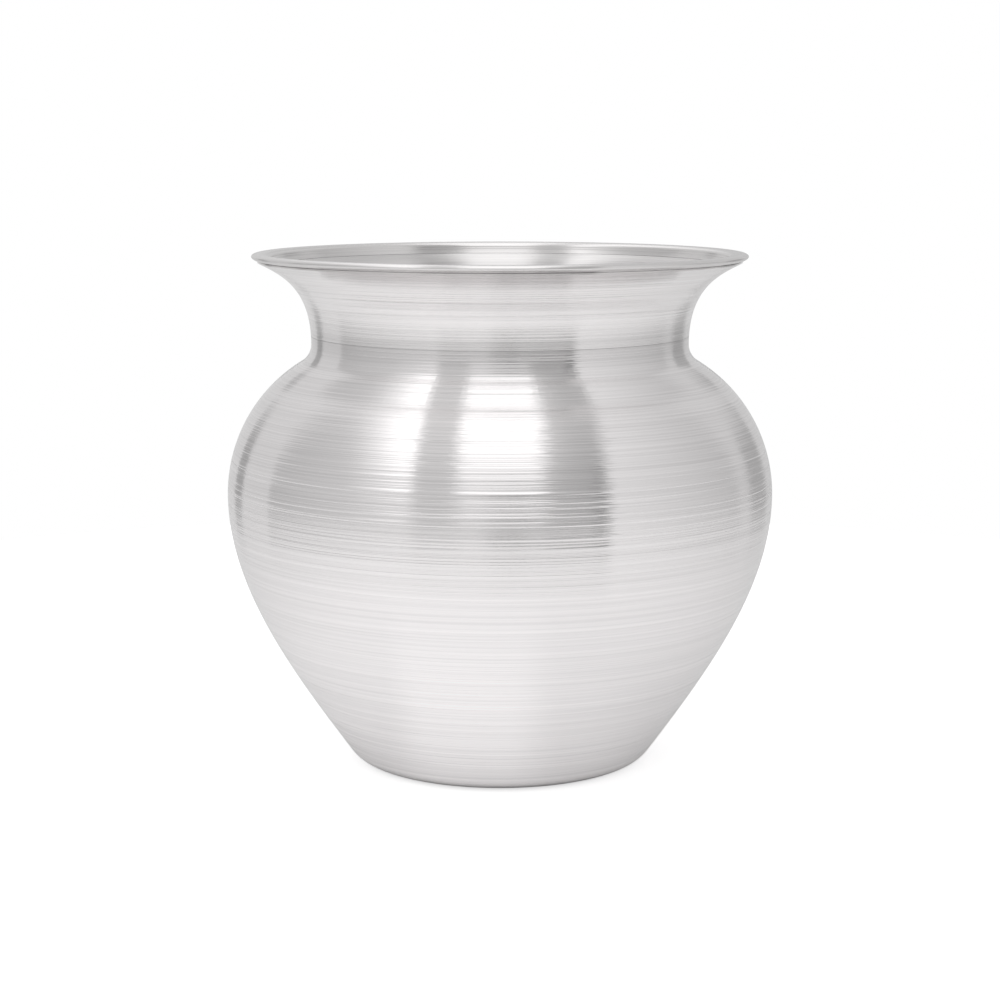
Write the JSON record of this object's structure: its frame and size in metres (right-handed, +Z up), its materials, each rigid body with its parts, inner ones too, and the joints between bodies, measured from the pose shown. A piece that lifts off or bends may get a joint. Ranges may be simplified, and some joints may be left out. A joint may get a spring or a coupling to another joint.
{
  "type": "lota",
  "caption": "Small round-bodied water pot of brushed silver sheet with a flat base, domed shoulder, short flared neck and beaded rim, for holding and pouring water.",
  "frame": {"origin": "centre of the base, on the plane the pot stands on", "axes": "+Z up along the pot's axis of turning; X and Y are free, because the pot is round"},
  "size_m": [0.1, 0.1, 0.0937],
  "materials": {
    "brushed_silver": "silver sheet brushed round the axis with a fine satin wheel",
    "rim_silver": "silver wire, lightly polished",
    "silver_solder": "hard silver solder, as it flowed"
  },
  "bodies": {
    "root": {"lower_bowl": "brushed_silver", "shoulder": "brushed_silver", "neck_collar": "brushed_silver", "rim_ring": "rim_silver", "girth_solder": "silver_solder", "neck_solder": "silver_solder"}
  },
  "joints": []
}
